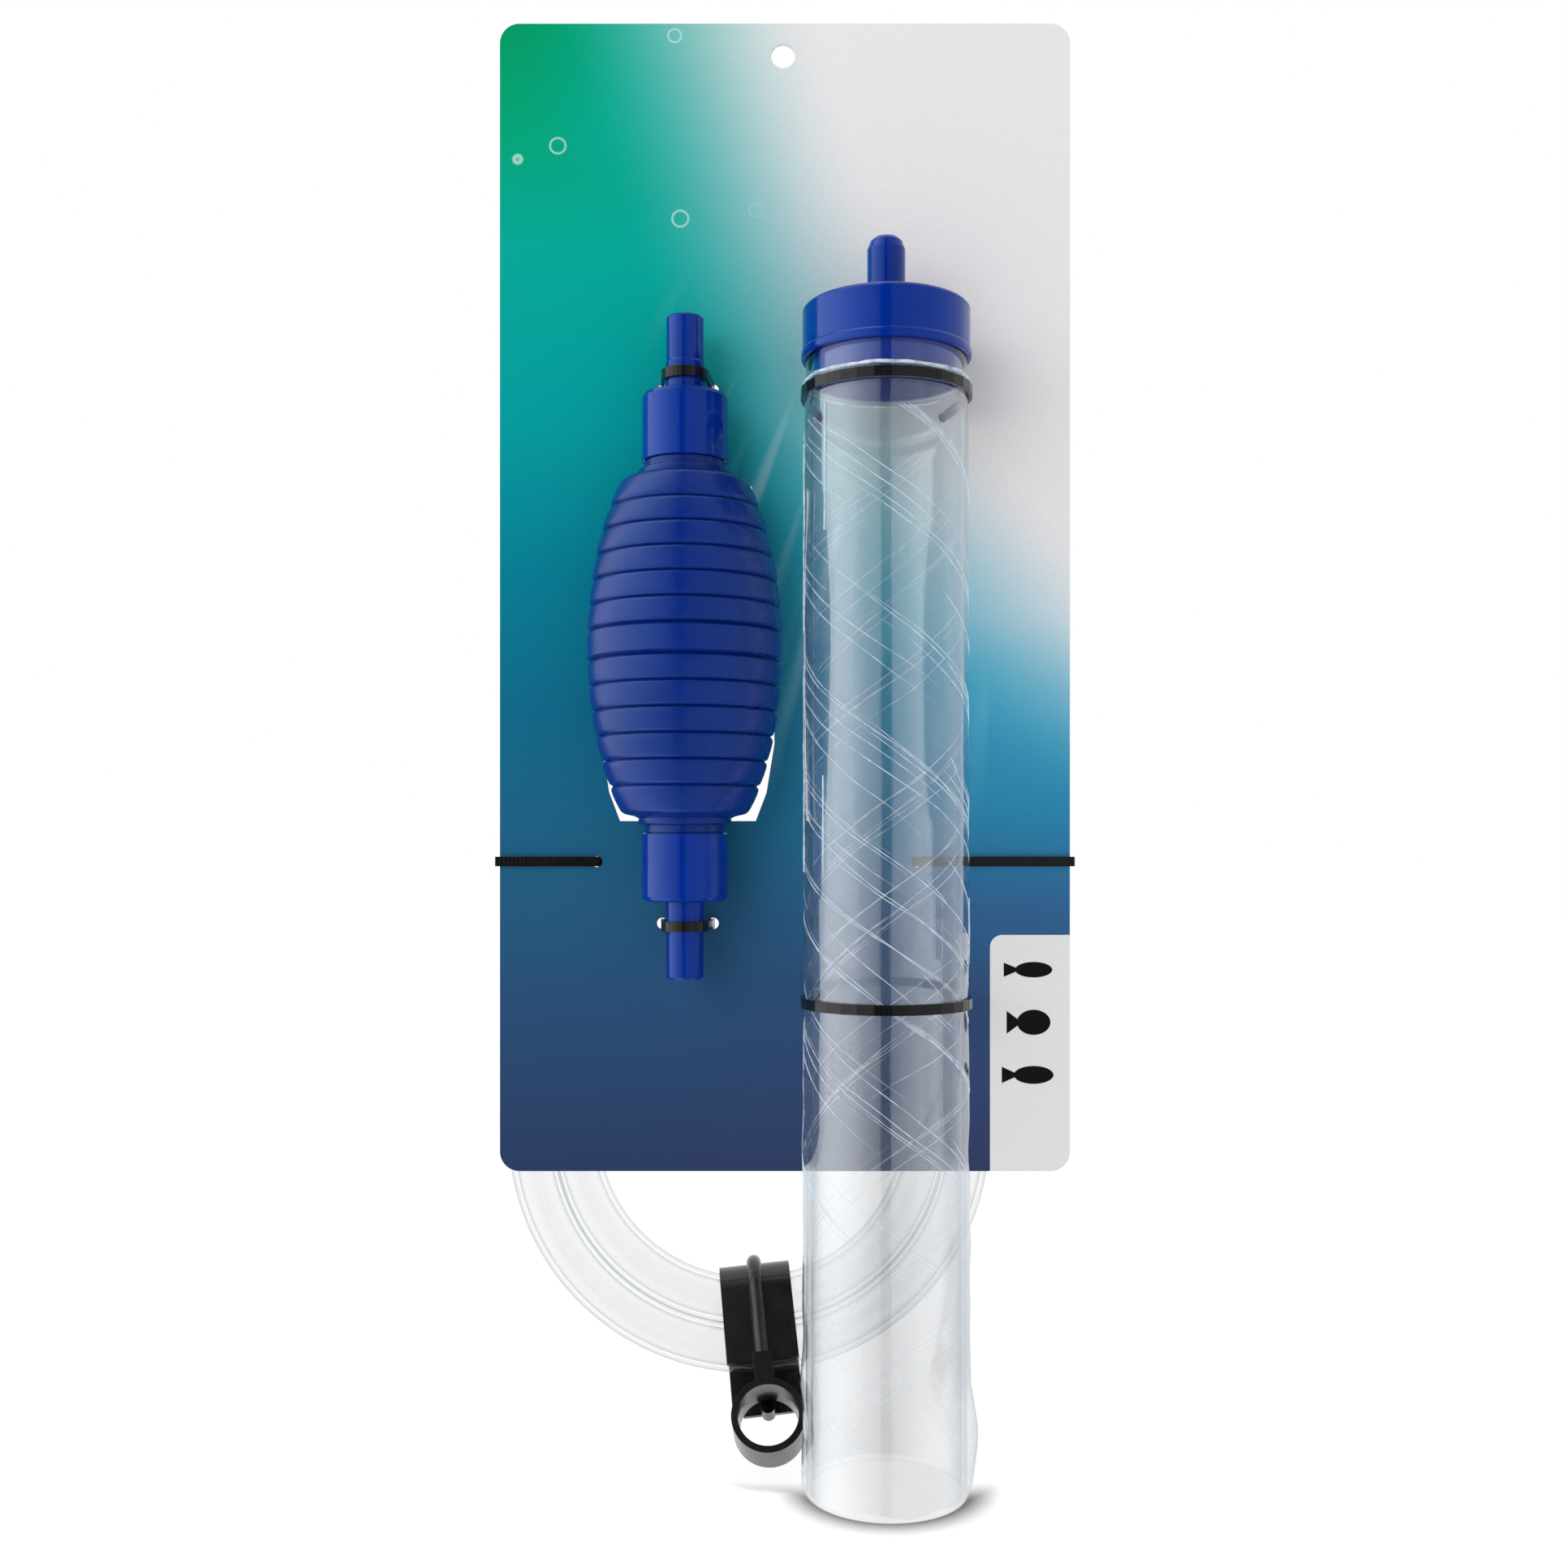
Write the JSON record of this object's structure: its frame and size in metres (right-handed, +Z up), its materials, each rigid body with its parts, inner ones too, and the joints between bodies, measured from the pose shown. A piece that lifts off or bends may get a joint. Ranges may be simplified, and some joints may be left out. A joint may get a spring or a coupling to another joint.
{
  "type": "gravel vacuum siphon",
  "caption": "Clear gravel tube with a hose cap, a ribbed squeeze bulb with one-way valves, a coiled clear hose and a hose clip, held upright on a hang card by cable ties.",
  "frame": {"origin": "centre of the gravel tube's mouth, on the tube's axis", "axes": "+Z up along the gravel tube, -Y towards the front of the hang card, +X to the right seen from the front"},
  "size_m": [0.1924, 0.0871, 0.4767],
  "materials": {
    "clear_tube": "clear, polished",
    "blue_gloss": "glossy moulded blue",
    "blue_bulb": "satin soft blue vinyl",
    "white_plastic": "natural moulded",
    "black_rubber": "soft black",
    "clear_hose": "clear flexible vinyl",
    "black_plastic": "glossy black",
    "printed_card": "printed and coated card",
    "clear_film": "creased clear film",
    "black_nylon": "satin black nylon"
  },
  "bodies": {
    "card_set": {"hang_card": "printed_card", "gravel_tube": "clear_tube", "film_sleeve": "clear_film", "hose": "clear_hose", "squeeze_bulb": "blue_bulb", "lower_valve_housing": "blue_gloss", "upper_valve_housing": "blue_gloss", "lower_valve_seat": "white_plastic", "upper_valve_seat": "white_plastic", "lower_gasket": "black_rubber", "upper_gasket": "black_rubber", "upper_tube_tie": "black_nylon", "lower_tube_tie": "black_nylon", "upper_nozzle_tie": "black_nylon", "lower_nozzle_tie": "black_nylon", "left_side_tie": "black_nylon", "right_side_tie": "black_nylon"},
    "cap": {"tube_cap": "blue_gloss"},
    "lower_disc": {"lower_valve_disc": "black_rubber"},
    "upper_disc": {"upper_valve_disc": "black_rubber"},
    "clip": {"hose_clip": "black_plastic"}
  },
  "joints": [
    {"name": "cap_pull", "type": "slide", "parent": "card_set", "child": "cap", "axis": [0, 0, 1], "range_m": [0, 0.03]},
    {"name": "lower_valve_lift", "type": "slide", "parent": "card_set", "child": "lower_disc", "axis": [0, 0, 1], "range_m": [0, 0.0025]},
    {"name": "upper_valve_lift", "type": "slide", "parent": "card_set", "child": "upper_disc", "axis": [0, 0, 1], "range_m": [0, 0.0025]},
    {"name": "clip_slide", "type": "hinge", "parent": "card_set", "child": "clip", "pos_m": [-0.0441, 0.0429, 0.1064], "axis": [0, 1, 0], "range_deg": [-0.5, 50]}
  ]
}
